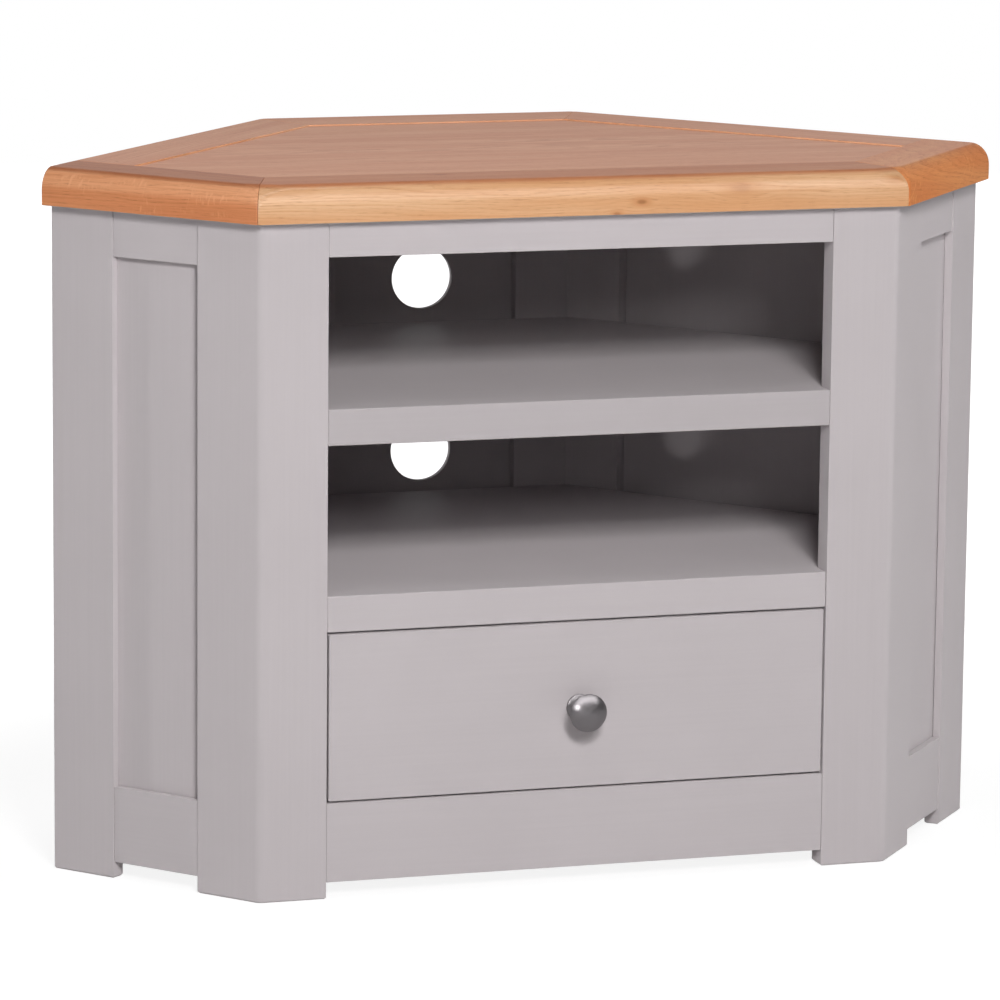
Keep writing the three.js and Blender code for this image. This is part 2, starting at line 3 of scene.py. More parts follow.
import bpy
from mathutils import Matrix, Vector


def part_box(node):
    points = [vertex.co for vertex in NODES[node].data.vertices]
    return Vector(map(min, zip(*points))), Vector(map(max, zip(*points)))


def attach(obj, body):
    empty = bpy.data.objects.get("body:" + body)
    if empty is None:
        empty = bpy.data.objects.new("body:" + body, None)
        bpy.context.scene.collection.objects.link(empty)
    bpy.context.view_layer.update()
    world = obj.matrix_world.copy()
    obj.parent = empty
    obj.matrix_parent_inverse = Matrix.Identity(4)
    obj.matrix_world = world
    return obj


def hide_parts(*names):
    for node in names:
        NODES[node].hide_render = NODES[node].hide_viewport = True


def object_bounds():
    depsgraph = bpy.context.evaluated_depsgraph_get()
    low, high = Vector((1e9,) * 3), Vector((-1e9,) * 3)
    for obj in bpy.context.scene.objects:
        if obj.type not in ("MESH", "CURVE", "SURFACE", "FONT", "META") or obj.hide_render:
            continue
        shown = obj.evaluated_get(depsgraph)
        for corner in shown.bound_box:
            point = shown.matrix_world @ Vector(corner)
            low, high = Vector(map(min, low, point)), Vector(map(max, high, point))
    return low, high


bl_info = {
    "name": "Corner Television Cabinet",
    "version": (1, 0, 0),
    "blender": (4, 5, 0),
    "location": "3D View > Sidebar > Cabinet",
    "description": "Paints, lacquers, fits out and lights a corner television cabinet",
    "category": "Object",
}

import math

import bmesh
import bpy
from bpy.props import FloatProperty, FloatVectorProperty, PointerProperty
from mathutils import Euler, Matrix, Vector

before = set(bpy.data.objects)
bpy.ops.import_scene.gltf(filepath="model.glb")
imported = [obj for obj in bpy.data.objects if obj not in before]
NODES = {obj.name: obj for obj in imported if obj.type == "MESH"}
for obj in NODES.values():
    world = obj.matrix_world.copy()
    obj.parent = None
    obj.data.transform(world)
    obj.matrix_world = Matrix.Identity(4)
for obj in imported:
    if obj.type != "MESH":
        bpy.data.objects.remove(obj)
CAD_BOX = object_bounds()
MM = 0.001

# Walls of the carcass: how far each one's boards turn from the front's, about the upright
END_TURN = math.radians(50)
BACK_TURN = math.radians(50)
WALL_TURNS = {
    "right_side": END_TURN,
    "left_side": -END_TURN,
    "right_back": -BACK_TURN,
    "left_back": BACK_TURN,
}
POSTS = tuple(name for name in NODES if name.endswith("_post"))
UPRIGHT_PANELS = ("right_side_panel", "left_side_panel", "right_back_panel", "left_back_panel",
                  "back_panel")
CARCASS_RAILS = tuple(
    name for name in NODES
    if name.endswith(("_bottom_rail", "_top_rail", "_shelf_cleat")) or name == "front_apron"
)
HIDDEN_BLOCKS = tuple(name for name in NODES if name.endswith(("_block", "_stop", "_runner")))
DRAWER_SIDES = ("drawer_right_side", "drawer_left_side")
DRAWER_BOARDS = ("drawer_back", "drawer_bottom")
FIXING_SCREWS = tuple(name for name in NODES if name.endswith("_fixing_screw"))

# Oak figure: length along the grain and width across it of each pattern in the wood
PITH_WANDER = (210 * MM, 40 * MM)
RING_RIPPLE = (55 * MM, 4.5 * MM)
FIBRES = (90 * MM, 1.1 * MM)
BOARD_SHADE = (320 * MM, 26 * MM)
RAY_PATCHES = (48 * MM, 15 * MM)

# Paint: slow clouds in the coat, and its orange peel
CLOUD = 120 * MM
PEEL = 2.4 * MM

# An edge that turns by less than this is soft; faces that turn by less are one flat
SOFT_EDGE = math.radians(34)
FLAT = math.radians(0.4)
LOOSE = 0.01 * MM
ARRIS_SEGMENTS = 3
SEALER = "#bdb6b7"
FLOOR_RADIUS = 5


def linear(code):
    """An sRGB hex colour as the linear one that a shader takes."""
    channels = [int(code[i:i + 2], 16) / 255 for i in (1, 3, 5)]
    return [c / 12.92 if c <= 0.04045 else ((c + 0.055) / 1.055) ** 2.4 for c in channels]


def opaque(colour):
    """A linear colour with its alpha, for a colour socket."""
    return (*colour[:3], 1.0)


# Settings


class PaintSettings(bpy.types.PropertyGroup):
    """The carcass paint."""

    colour: FloatVectorProperty(
        name="Paint", description="Body colour of the paint", subtype="COLOR", size=3,
        default=linear("#cfc8ca"), min=0, max=1)
    thin_colour: FloatVectorProperty(
        name="Thin paint", description="Where the coat lies thinner over the board",
        subtype="COLOR", size=3, default=linear("#ccc5c7"), min=0, max=1)
    # Painted shade: the upper shelf takes the carcass paint darkened by this factor, for the shade
    # that falls on it
    upper_shelf_shade: FloatProperty(
        name="Upper shelf shade", description="Painted shade: how dark the upper shelf is painted against the rest",
        default=0.9, min=0, max=1)
    lay_length: FloatProperty(
        name="Lay-off length", description="Length of the marks left by laying off the coat",
        default=140 * MM, unit="LENGTH")
    lay_width: FloatProperty(
        name="Lay-off width", description="Width of those marks", default=2.2 * MM, unit="LENGTH")
    arris: FloatProperty(
        name="Arris", description="Sanded edge of a carcass board", default=0.3 * MM, unit="LENGTH")
    shelf_arris: FloatProperty(
        name="Shelf arris", description="Sanded edge of a shelf and of the drawer front",
        default=1.2 * MM, unit="LENGTH")


class OakSettings(bpy.types.PropertyGroup):
    """The oak top."""

    ring_spacing: FloatProperty(
        name="Ring spacing", description="One year's growth", default=2.6 * MM, unit="LENGTH")
    pore_length: FloatProperty(
        name="Pore length", description="Length of an open pore along the grain",
        default=10 * MM, unit="LENGTH")
    pore_width: FloatProperty(
        name="Pore width", description="Width of a pore, drawn wide enough to show",
        default=0.5 * MM, unit="LENGTH")
    joint_ease: FloatProperty(
        name="Joint ease", description="Eased edge at the joints of the top", default=0.3 * MM,
        unit="LENGTH")
    rail_step: FloatProperty(
        name="Rail step", description="How far the rails stand proud of the centre panel",
        default=0.9 * MM, unit="LENGTH")
    # Painted shade: the top face of the front rail is painted darker and redder, standing in for
    # sheen it does not catch
    front_top_face_shade: FloatVectorProperty(
        name="Front top face shade", description="Painted shade on the top face of the front rail",
        subtype="COLOR", size=3, default=(0.80, 0.52, 0.41), min=0, max=1)
    # Painted shade: the top face of the left rail is painted darker and redder, standing in for
    # sheen it does not catch
    left_top_face_shade: FloatVectorProperty(
        name="Left top face shade", description="Painted shade on the top face of the left rail",
        subtype="COLOR", size=3, default=(0.60, 0.42, 0.30), min=0, max=1)
    # The lower half of the left rail's edge is darker
    left_rail_lower_tint: FloatVectorProperty(
        name="Left rail lower tint", description="How much deeper the lower half of the left rail is",
        subtype="COLOR", size=3, default=(0.90, 0.78, 0.68), min=0, max=1)
    # Painted light: below their top faces the back rails are painted paler and yellower, so their
    # steps show as lit joint lines
    back_rail_painted_light: FloatVectorProperty(
        name="Back rail light", description="Painted light: how much paler the back rails are below their top faces",
        subtype="COLOR", size=3, default=(1.2, 1.7, 2.2), min=0, max=3)


class HardwareSettings(bpy.types.PropertyGroup):
    """The knob and the screws."""

    nickel: FloatVectorProperty(
        name="Nickel", description="Colour of the satin plating", subtype="COLOR", size=3,
        default=linear("#817d7f"), min=0, max=1)
    zinc: FloatVectorProperty(
        name="Zinc", description="Colour of the plated screws", subtype="COLOR", size=3,
        default=linear("#c9cac8"), min=0, max=1)
    turning_pitch: FloatProperty(
        name="Turning pitch", description="Spacing of the lathe marks, drawn wide enough to show",
        default=0.45 * MM, unit="LENGTH")


class StageSettings(bpy.types.PropertyGroup):
    """The camera, the floor and the lamps."""

    camera_place: FloatVectorProperty(
        name="Camera", description="Where the camera stands", subtype="TRANSLATION", size=3,
        default=(-1.39955, -4.46794, 1.13162), unit="LENGTH")
    heading: FloatProperty(
        name="Heading", description="Turn of the view from straight at the front",
        subtype="ANGLE", default=math.radians(17.392))
    drop: FloatProperty(
        name="Drop", description="How far the view looks down", subtype="ANGLE",
        default=math.radians(10.203))
    roll: FloatProperty(
        name="Roll", description="Tilt of the frame", subtype="ANGLE", default=math.radians(0.58))
    lens: FloatProperty(
        name="Lens", description="Focal length on a 36 mm frame, in millimetres", default=195.48)
    ambient: FloatProperty(
        name="Ambient", description="Level of the light from all round", default=0.03, min=0)
    room: FloatProperty(
        name="Room", description="Level of the room that polished pieces mirror", default=0.15,
        min=0)
    key: FloatProperty(
        name="Key", description="Level of the softbox beside the camera", default=0.4, min=0)
    fill: FloatProperty(
        name="Fill", description="Level of the softbox below it", default=0.17, min=0)
    front: FloatProperty(
        name="Front", description="Level of the wide weak lamp at the camera", default=0.025,
        min=0)
    high_card: FloatProperty(
        name="High card", description="Brightness of the big card above the front, which the "
        "knob and the edge of the top mirror", default=3.4, min=0)
    left_card: FloatProperty(
        name="Left card", description="Brightness of the card at the left that the knob mirrors",
        default=42.0, min=0)
    right: FloatProperty(
        name="Right", description="Level of the softbox at the right", default=0.135, min=0)
    overhead: FloatProperty(
        name="Overhead", description="Level of the strip lamp overhead", default=0.18, min=0)
    back: FloatProperty(
        name="Back", description="Level of the softboxes behind", default=0.05, min=0)
    backdrop: FloatProperty(
        name="Backdrop", description="Brightness of the lit backdrop that the top mirrors",
        default=0.4, min=0)
    low: FloatProperty(
        name="Low", description="Level of the small lamp near the floor that shines in through "
        "the cable holes", default=0.3, min=0)
    floor_lift: FloatProperty(
        name="Floor lift", description="How much of its shadow the white floor hides",
        default=0.72, min=0, max=1)


# Shading


def add(tree, kind, inputs=None, **settings):
    """A node with its settings; each input is a value, or the node or output that feeds it."""
    made = tree.nodes.new(kind)
    for name, value in settings.items():
        setattr(made, name, value)
    for key, value in (inputs or {}).items():
        target = made.inputs[key] if isinstance(key, int) else next(
            socket for socket in made.inputs if socket.enabled and socket.name == key)
        if isinstance(value, bpy.types.Node):
            value = next(socket for socket in value.outputs if socket.enabled)
        if isinstance(value, bpy.types.NodeSocket):
            tree.links.new(value, target)
        else:
            target.default_value = value
    return made


def new_surface(name):
    """An empty material with its shader, and the tree that holds both."""
    material = bpy.data.materials.new(name)
    material.use_nodes = True
    tree = material.node_tree
    tree.nodes.clear()
    shader = add(tree, "ShaderNodeBsdfPrincipled")
    add(tree, "ShaderNodeOutputMaterial", {"Surface": shader.outputs["BSDF"]})
    return material, tree, shader


def feed(tree, shader, **inputs):
    """Sets or links the shader's own sockets; an underscore in a name stands for a space."""
    for name, value in inputs.items():
        target = shader.inputs[name.replace("_", " ")]
        if isinstance(value, bpy.types.Node):
            value = next(socket for socket in value.outputs if socket.enabled)
        if isinstance(value, bpy.types.NodeSocket):
            tree.links.new(value, target)
        else:
            target.default_value = value


def satin_paint(name, paint, upright, turn, tone=1.0):
    """Satin acrylic paint, sprayed on planed boards and laid off along them.

    The coat is close and even: faint lay-off marks run with the board, slow clouds show where
    it lies thinner, and a fine orange peel breaks up the reflections. Tone scales both colours
    against the settings; below 1 it is painted shade, a darker copy of the same paint.
    """
    material, tree, shader = new_surface(name)
    place = add(tree, "ShaderNodeTexCoord").outputs["Object"]
    along, across = paint.lay_length, paint.lay_width
    board = add(tree, "ShaderNodeMapping", {
        "Vector": place, "Rotation": (0, 0, turn),
        "Scale": (across, across, along) if upright else (along, across, across),
    }, vector_type="TEXTURE")
    marks = add(tree, "ShaderNodeTexNoise", {
        "Vector": board, "Scale": 1, "Detail": 3, "Roughness": 0.55})
    clouds = add(tree, "ShaderNodeTexNoise", {
        "Vector": place, "Scale": 1 / CLOUD, "Detail": 2, "Roughness": 0.5})
    both = add(tree, "ShaderNodeMix", {"Factor": 0.45, "A": clouds, "B": marks}, data_type="FLOAT")
    coat = add(tree, "ShaderNodeMapRange", {"Value": both, "From Min": 0.36, "From Max": 0.64})
    # A tone below 1 darkens both paint colours: painted shade
    colour = add(tree, "ShaderNodeMix", {
        "Factor": coat, "A": opaque([tone * c for c in paint.thin_colour]),
        "B": opaque([tone * c for c in paint.colour])}, data_type="RGBA")
    gloss = add(tree, "ShaderNodeMapRange", {
        "Value": marks, "From Min": 0.3, "From Max": 0.7, "To Min": 0.40, "To Max": 0.50})
    peel = add(tree, "ShaderNodeTexNoise", {"Vector": place, "Scale": 1 / PEEL, "Detail": 1})
    skin = add(tree, "ShaderNodeMix", {"Factor": 0.35, "A": marks, "B": peel}, data_type="FLOAT")
    relief = add(tree, "ShaderNodeBump", {"Strength": 1, "Distance": 0.012 * MM, "Height": skin})
    feed(tree, shader, Base_Color=colour, Roughness=gloss, Normal=relief, IOR=1.48,
         Specular_IOR_Level=0.2, Diffuse_Roughness=0.45)
    return material


def timber(name, tones, start, turn=0.0, lean=0.0, spacing=3.4 * MM, pore=(13 * MM, 0.6 * MM),
           drift=9.0, ring_share=0.38, pore_share=0.55, knots=(), flecks=0.0, fleck_lean=0.0,
           lacquered=True, sealed_below=None, height_tints=(), coat=0.5):
    """A sawn board as a solid: growth rings round a pith that lies at start.

    Oak is ring-porous, so each year opens with a dark band of pores and fades to dense pale wood.
    The rings wander slowly, pores are short dashes in the dark bands, knots push the rings
    aside, and on quartered faces pale ray flecks lie across the grain. Tones are the pale,
    body, ring and pore colours. A knot is its place in the cabinet, its radius and its depth
    of colour. A height tint is two heights and a tint: the colour changes from one height to
    the other; on the top's rails these tints are painted shade and painted light, and one
    darkens the lower half of the left rail. A board may be sealed in grey below a height, as
    the underside of the top is.
    """
    material, tree, shader = new_surface(name)
    place = add(tree, "ShaderNodeTexCoord").outputs["Object"]
    board = add(tree, "ShaderNodeMapping", {
        "Vector": place, "Location": start, "Rotation": (0, lean, turn), "Scale": (MM, MM, MM)},
        vector_type="TEXTURE")
    unturn = Euler((0, lean, turn)).to_matrix().transposed()
    pale, body, ring, open_pore = (opaque(linear(tone)) for tone in tones)

    def scaled(length, width, vector=board):
        return add(tree, "ShaderNodeVectorMath", {
            0: vector, 1: (MM / length, MM / width, MM / width)}, operation="MULTIPLY")

    def noise(vector, detail=2.0, roughness=0.5):
        return add(tree, "ShaderNodeTexNoise", {
            "Vector": vector, "Scale": 1, "Detail": detail, "Roughness": roughness})

    # The slow wander of the pith
    wander = add(tree, "ShaderNodeVectorMath", {
        0: noise(scaled(*PITH_WANDER)).outputs["Color"], 1: (0.5, 0.5, 0.5)},
        operation="SUBTRACT")
    grown = add(tree, "ShaderNodeVectorMath", {
        0: wander, 1: (0, 2 * drift, 2 * drift), 2: board}, operation="MULTIPLY_ADD")

    # Knots: rings are pushed aside, and the wood darkens to the knot's core
    halo, core = 0.0, 0.0
    for centre, radius, depth in knots:
        middle = unturn @ (Vector(centre) - Vector(start)) / MM
        reach = radius / MM
        offset = add(tree, "ShaderNodeVectorMath", {0: board, 1: middle}, operation="SUBTRACT")
        flat = add(tree, "ShaderNodeVectorMath", {
            0: offset, 1: (0.45 / reach, 1 / reach, 1 / reach)}, operation="MULTIPLY")
        away = add(tree, "ShaderNodeVectorMath", {0: flat}, operation="LENGTH")
        push = add(tree, "ShaderNodeMapRange", {
            "Value": away, "From Min": 0.4, "From Max": 4, "To Min": -0.85, "To Max": 0},
            interpolation_type="SMOOTHSTEP")
        aside = add(tree, "ShaderNodeVectorMath", {0: offset, "Scale": push}, operation="SCALE")
        grown = add(tree, "ShaderNodeVectorMath", {0: grown, 1: aside}, operation="ADD")
        glow = add(tree, "ShaderNodeMapRange", {
            "Value": away, "From Min": 0.5, "From Max": 2.6, "To Min": 0.8 * depth, "To Max": 0},
            interpolation_type="SMOOTHSTEP")
        heart = add(tree, "ShaderNodeMapRange", {
            "Value": away, "From Min": 0.3, "From Max": 1.1, "To Min": depth ** 2, "To Max": 0},
            interpolation_type="SMOOTHSTEP")
        halo = add(tree, "ShaderNodeMath", {0: halo, 1: glow}, operation="MAXIMUM")
        core = add(tree, "ShaderNodeMath", {0: core, 1: heart}, operation="MAXIMUM")

    across = add(tree, "ShaderNodeVectorMath", {0: grown, 1: (0, 1, 1)}, operation="MULTIPLY")
    radius = add(tree, "ShaderNodeVectorMath", {0: across}, operation="LENGTH")
    ripple = noise(scaled(*RING_RIPPLE), detail=3)
    age = add(tree, "ShaderNodeMath", {
        0: radius, 1: MM / spacing, 2: add(tree, "ShaderNodeMath", {
            0: ripple, 1: 0.9}, operation="MULTIPLY")}, operation="MULTIPLY_ADD")
    season = add(tree, "ShaderNodeMath", {0: age}, operation="FRACT")
    year = add(tree, "ShaderNodeMath", {0: age}, operation="FLOOR")
    vigour = add(tree, "ShaderNodeMapRange", {
        "Value": add(tree, "ShaderNodeTexWhiteNoise", {"W": year}, noise_dimensions="1D"),
        "To Min": 0.35, "To Max": 1})
    early = add(tree, "ShaderNodeMapRange", {
        "Value": season, "From Min": 0.04, "From Max": 0.62, "To Min": 1, "To Max": 0},
        interpolation_type="SMOOTHSTEP")
    band = add(tree, "ShaderNodeMath", {0: early, 1: vigour}, operation="MULTIPLY")

    fibre = noise(scaled(*FIBRES), detail=3)
    dashes = add(tree, "ShaderNodeMapRange", {
        "Value": noise(scaled(*pore), detail=1), "From Min": 0.56, "From Max": 0.68})
    in_band = add(tree, "ShaderNodeMapRange", {"Value": band, "To Min": 0.3, "To Max": 1})
    pores = add(tree, "ShaderNodeMath", {0: dashes, 1: in_band}, operation="MULTIPLY")
    shade = add(tree, "ShaderNodeMapRange", {
        "Value": noise(scaled(*BOARD_SHADE)), "From Min": 0.35, "From Max": 0.65})

    colour = add(tree, "ShaderNodeMix", {"Factor": shade, "A": body, "B": pale},
                 data_type="RGBA")
    threads = add(tree, "ShaderNodeMapRange", {
        "Value": fibre, "From Min": 0.42, "From Max": 0.66, "To Max": 0.32})
    colour = add(tree, "ShaderNodeMix", {"Factor": threads, "A": colour, "B": ring},
                 data_type="RGBA")
    ringed = add(tree, "ShaderNodeMath", {0: band, 1: ring_share}, operation="MULTIPLY")
    colour = add(tree, "ShaderNodeMix", {"Factor": ringed, "A": colour, "B": ring},
                 data_type="RGBA")
    pored = add(tree, "ShaderNodeMath", {0: pores, 1: pore_share}, operation="MULTIPLY")
    colour = add(tree, "ShaderNodeMix", {"Factor": pored, "A": colour, "B": open_pore},
                 data_type="RGBA")
    if flecks:
        rays = add(tree, "ShaderNodeMapping", {
            "Vector": board, "Rotation": (0, fleck_lean, 0), "Scale": (2.4, 7, 7)},
            vector_type="TEXTURE")
        lines = add(tree, "ShaderNodeMapRange", {
            "Value": noise(rays, detail=2), "From Min": 0.52, "From Max": 0.64})
        patches = add(tree, "ShaderNodeMapRange", {
            "Value": noise(scaled(*RAY_PATCHES), detail=1), "From Min": 0.5,
            "From Max": 0.62, "To Max": flecks})
        lustre = add(tree, "ShaderNodeMath", {0: lines, 1: patches}, operation="MULTIPLY")
        colour = add(tree, "ShaderNodeMix", {"Factor": lustre, "A": colour, "B": pale},
                     data_type="RGBA")
    if knots:
        colour = add(tree, "ShaderNodeMix", {"Factor": halo, "A": colour, "B": ring},
                     data_type="RGBA")
        colour = add(tree, "ShaderNodeMix", {"Factor": core, "A": colour, "B": open_pore},
                     data_type="RGBA")

    if height_tints or sealed_below:
        rise = add(tree, "ShaderNodeSeparateXYZ", {"Vector": place}).outputs["Z"]
    # Height tints: painted shade on the top faces of the front and left rails, painted light on the
    # back rails below their top faces, and a darker lower half on the left rail
    for start_height, end_height, tint in height_tints:
        tint_share = add(tree, "ShaderNodeMapRange", {
            "Value": rise, "From Min": start_height, "From Max": end_height},
            interpolation_type="SMOOTHSTEP")
        colour = add(tree, "ShaderNodeMix", {"Factor": tint_share, "A": colour, "B": opaque(tint)},
                     data_type="RGBA", blend_type="MULTIPLY")
    if sealed_below:
        sealed = add(tree, "ShaderNodeMath", {0: rise, 1: sealed_below}, operation="LESS_THAN")
        colour = add(tree, "ShaderNodeMix", {
            "Factor": sealed, "A": colour, "B": opaque(linear(SEALER))}, data_type="RGBA")

    rough = add(tree, "ShaderNodeMapRange", {
        "Value": pores, "To Min": 0.5 if lacquered else 0.62, "To Max": 0.66})
    hollow = add(tree, "ShaderNodeMath", {
        0: pores, 1: 0.35, 2: band}, operation="MULTIPLY_ADD")
    relief = add(tree, "ShaderNodeBump", {
        "Strength": 1, "Distance": 0.03 * MM, "Height": hollow}, invert=True)
    feed(tree, shader, Base_Color=colour, Roughness=rough, Normal=relief, IOR=1.5,
         Specular_IOR_Level=0.35, Diffuse_Roughness=0.4)
    if lacquered:
        feed(tree, shader, Coat_Weight=coat, Coat_Roughness=0.12, Coat_IOR=1.5)
    return material


def satin_nickel(hardware, centre):
    """Satin nickel plate on a turned knob.

    The face was turned and fine-brushed on the lathe: faint rings run round the axis, and a
    highlight is drawn out across them, toward the middle of the face.
    """
    material, tree, shader = new_surface("satin_nickel_plate")
    place = add(tree, "ShaderNodeTexCoord").outputs["Object"]
    local = add(tree, "ShaderNodeMapping", {
        "Vector": place, "Location": centre, "Scale": (MM, MM, MM)}, vector_type="TEXTURE")
    turned = add(tree, "ShaderNodeVectorMath", {
        0: add(tree, "ShaderNodeVectorMath", {0: local, 1: (1, 0, 1)}, operation="MULTIPLY")},
        operation="LENGTH")
    pitch = add(tree, "ShaderNodeMath", {
        0: turned, 1: MM / hardware.turning_pitch}, operation="MULTIPLY")
    marks = add(tree, "ShaderNodeTexNoise", {"W": pitch, "Scale": 1, "Detail": 2},
                noise_dimensions="1D")
    wear = add(tree, "ShaderNodeTexNoise", {"Vector": local, "Scale": 1 / 6, "Detail": 2})
    rough = add(tree, "ShaderNodeMapRange", {"Value": wear, "To Min": 0.3, "To Max": 0.4})
    tint = add(tree, "ShaderNodeMix", {
        "Factor": marks, "A": opaque(hardware.nickel),
        "B": opaque([1.25 * c for c in hardware.nickel])}, data_type="RGBA")
    relief = add(tree, "ShaderNodeBump", {"Strength": 1, "Distance": 0.01 * MM, "Height": marks})
    brushed = add(tree, "ShaderNodeTangent", direction_type="RADIAL", axis="Y")
    feed(tree, shader, Base_Color=tint, Metallic=1.0, Roughness=rough, Normal=relief,
         Anisotropic=0.55, Anisotropic_Rotation=0.25, Tangent=brushed)
    return material


def zinc_plate(hardware):
    """Bright zinc on steel screws: a cool silver with a faint cloudy spangle."""
    material, tree, shader = new_surface("bright_zinc_plate")
    place = add(tree, "ShaderNodeTexCoord").outputs["Object"]
    spangle = add(tree, "ShaderNodeTexVoronoi", {"Vector": place, "Scale": 1 / (1.5 * MM)})
    tint = add(tree, "ShaderNodeMix", {
        "Factor": spangle, "A": opaque(hardware.zinc),
        "B": opaque([0.75 * c for c in hardware.zinc])}, data_type="RGBA")
    rough = add(tree, "ShaderNodeMapRange", {"Value": spangle, "To Min": 0.28, "To Max": 0.42})
    feed(tree, shader, Base_Color=tint, Metallic=1.0, Roughness=rough)
    return material


# Solid pieces


def modifier_group(name):
    """An empty modifier group and its input node."""
    group = bpy.data.node_groups.new(name, "GeometryNodeTree")
    for way in ("INPUT", "OUTPUT"):
        group.interface.new_socket("Geometry", in_out=way, socket_type="NodeSocketGeometry")
    return group, add(group, "NodeGroupInput")


def edge_groups():
    """Makes two modifier groups: one merges a solid's loose faces, one smooths soft edges."""
    merge, solid = modifier_group("merge_loose_faces")
    plain = add(merge, "GeometryNodeRemoveAttribute", {"Geometry": solid, "Name": "custom_normal"})
    whole = add(merge, "GeometryNodeMergeByDistance", {"Geometry": plain, "Distance": LOOSE})
    add(merge, "NodeGroupOutput", {"Geometry": whole})
    smooth, solid = modifier_group("smooth_by_angle")
    all_smooth = add(smooth, "GeometryNodeSetShadeSmooth", {"Geometry": solid}, domain="FACE")
    turned = add(smooth, "GeometryNodeInputMeshEdgeAngle")
    sharp = add(smooth, "FunctionNodeCompare", {
        "A": turned.outputs["Unsigned Angle"], "B": SOFT_EDGE},
        data_type="FLOAT", operation="GREATER_THAN")
    creased = add(smooth, "GeometryNodeSetShadeSmooth", {
        "Geometry": all_smooth, "Selection": sharp, "Shade Smooth": False}, domain="EDGE")
    add(smooth, "NodeGroupOutput", {"Geometry": creased})


def plane_down(piece, depth):
    """Lowers the top face of a packed board a little, by a modifier."""
    upper = max((piece.matrix_world @ Vector(corner)).z for corner in piece.bound_box)
    group, solid = modifier_group("planed_down")
    rise = add(group, "ShaderNodeSeparateXYZ", {
        "Vector": add(group, "GeometryNodeInputPosition")}).outputs["Z"]
    top = add(group, "FunctionNodeCompare", {"A": rise, "B": upper - 0.1 * MM},
              data_type="FLOAT", operation="GREATER_THAN")
    lowered = add(group, "GeometryNodeSetPosition", {
        "Geometry": solid, "Selection": top, "Offset": (0, 0, -depth)})
    add(group, "NodeGroupOutput", {"Geometry": lowered})
    piece.modifiers.new("planed_down", "NODES").node_group = group


def ease(piece, width):
    """Rounds the arrises of a packed board by a modifier and shades its flats flat."""
    groups = bpy.data.node_groups
    if "merge_loose_faces" not in groups:
        edge_groups()
    merge, smooth = groups["merge_loose_faces"], groups["smooth_by_angle"]
    piece.modifiers.new("merge", "NODES").node_group = merge
    clean = piece.modifiers.new("flats", "DECIMATE")
    clean.decimate_type = "DISSOLVE"
    clean.angle_limit = FLAT
    if width:
        arris = piece.modifiers.new("arris", "BEVEL")
        arris.width = width
        arris.segments = ARRIS_SEGMENTS
        arris.limit_method = "ANGLE"
        arris.angle_limit = SOFT_EDGE
        arris.use_clamp_overlap = False
        arris.miter_outer = "MITER_ARC"
    piece.modifiers.new("smooth", "NODES").node_group = smooth
    normals = piece.modifiers.new("flat_shading", "WEIGHTED_NORMAL")
    normals.keep_sharp = True
    normals.weight = 100


def finish_as(names, material, width):
    """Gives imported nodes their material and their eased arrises."""
    for name in names:
        piece = NODES[name]
        piece.data.materials.clear()
        piece.data.materials.append(material)
        ease(piece, width)


def arc(centre, radius, first, last, steps):
    """Points of an arc as (radius from the axis, depth), from one angle to another in degrees."""
    angles = [math.radians(first + (last - first) * i / steps) for i in range(steps + 1)]
    return [(centre[0] + radius * math.cos(a), centre[1] + radius * math.sin(a)) for a in angles]


def turn_on_lathe(name, profile, centre, outward, steps):
    """A turned solid: the profile, as (radius, depth), is spun about the axis through centre."""
    form = bmesh.new()
    axis = Vector(outward)
    side = axis.orthogonal().normalized()
    points = [form.verts.new(Vector(centre) + side * r + axis * d) for r, d in profile]
    for first, second in zip(points, points[1:]):
        form.edges.new((first, second))
    bmesh.ops.spin(
        form, geom=form.verts[:] + form.edges[:], cent=centre, axis=axis, dvec=(0, 0, 0),
        angle=2 * math.pi, steps=steps, use_merge=True, use_normal_flip=False,
        use_duplicate=False)
    bmesh.ops.remove_doubles(form, verts=form.verts[:], dist=0.001 * MM)
    bmesh.ops.recalc_face_normals(form, faces=form.faces[:])
    for face in form.faces:
        face.smooth = True
    mesh = bpy.data.meshes.new(name)
    form.to_mesh(mesh)
    form.free()
    piece = bpy.data.objects.new(name, mesh)
    bpy.context.scene.collection.objects.link(piece)
    return piece


# Operators


class CABINET_OT_paint_carcass(bpy.types.Operator):
    """Paint the posts, rails, panels, shelves and cleats"""

    bl_idname = "cabinet.paint_carcass"
    bl_label = "Paint the Carcass"

    def execute(self, context):
        paint = context.scene.cabinet_paint
        upright = satin_paint("satin_paint_upright", paint, True, 0.0)
        level = satin_paint("satin_paint_level", paint, False, 0.0)
        finish_as(POSTS, upright, paint.arris)
        finish_as(UPRIGHT_PANELS, upright, paint.arris)
        # Painted shade: the upper shelf is a darker copy of the same paint
        upper_shelf = satin_paint("satin_paint_upper_shelf_shaded", paint, False, 0.0, paint.upper_shelf_shade)
        finish_as(("upper_shelf",), upper_shelf, paint.shelf_arris)
        finish_as(("lower_shelf",), level, paint.shelf_arris)
        walls = {
            wall: satin_paint("satin_paint_" + wall, paint, False, turn)
            for wall, turn in WALL_TURNS.items()
        }
        for name in CARCASS_RAILS:
            wall = next((wall for wall in walls if name.startswith(wall)), None)
            finish_as((name,), walls[wall] if wall else level, paint.arris)
        return {"FINISHED"}


# Wood tones, pale, body, ring and pore: the front rail is honey, the ends are redder
HONEY_OAK = ("#ebc196", "#e1aa78", "#cf8f59", "#a96d3e")
AMBER_OAK = ("#f0a676", "#e79563", "#cf7a49", "#a5602f")
PALE_AMBER_OAK = ("#f4b486", "#eaa172", "#d28651", "#a96635")
RUSSET_OAK = ("#f2a15f", "#e88c4a", "#cf7036", "#a55522")
DEAL = ("#ead5b0", "#dfc498", "#c9a473", "#b18a5a")


